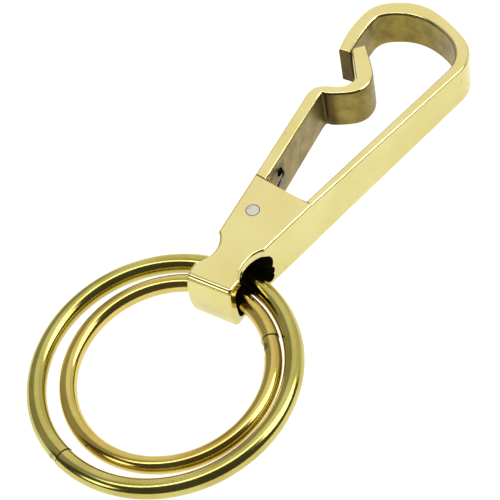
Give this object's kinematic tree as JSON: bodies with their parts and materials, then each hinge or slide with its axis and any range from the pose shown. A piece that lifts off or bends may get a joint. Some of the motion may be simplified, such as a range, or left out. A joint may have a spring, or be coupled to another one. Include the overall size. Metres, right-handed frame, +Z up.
{
  "type": "snap-hook key clip",
  "caption": "Brass fish-hook key clip lying flat: a sprung gate with an S-shaped thumb notch, and round-wire rings through its loop.",
  "frame": {"origin": "middle of the bounding box in plan, on the surface that the clip lies on", "axes": "+Y from the rings to the top of the hook, +Z up from the clip's back to its front face, +X to the side of the spine"},
  "size_m": [0.0398, 0.093, 0.0085],
  "materials": {
    "clip_brass": "polished cast brass",
    "ring_brass": "polished drawn wire",
    "small_ring_brass": "polished drawn wire",
    "pin_steel": "dressed flush",
    "spring_steel": "drawn spring wire"
  },
  "bodies": {
    "clip": {"clip_body": "clip_brass", "clip_pivot_pin": "pin_steel", "clip_gate_spring": "spring_steel"},
    "clip_gate": {"clip_gate": "clip_brass"},
    "large_ring": {"large_ring": "ring_brass"},
    "small_ring": {"small_ring": "small_ring_brass"}
  },
  "joints": [
    {"name": "clip_gate_hinge", "type": "hinge", "parent": "clip", "child": "clip_gate", "pos_m": [0.00011, -0.0004, 0.00425], "axis": [0, 0, -1], "range_deg": [0, 15], "stiffness_Nm_per_rad": 0.05, "springref_deg": -20.05, "deforming": ["clip_gate_spring"]},
    {"name": "large_ring_swing", "type": "hinge", "parent": "clip", "child": "large_ring", "pos_m": [-0.00004, -0.00825, 0.00342], "axis": [-1, 0, 0], "range_deg": [-90, 90]},
    {"name": "small_ring_swing", "type": "hinge", "parent": "clip", "child": "small_ring", "pos_m": [0.00062, -0.01155, 0.00359], "axis": [-1, 0, 0], "range_deg": [-45, 38]}
  ]
}
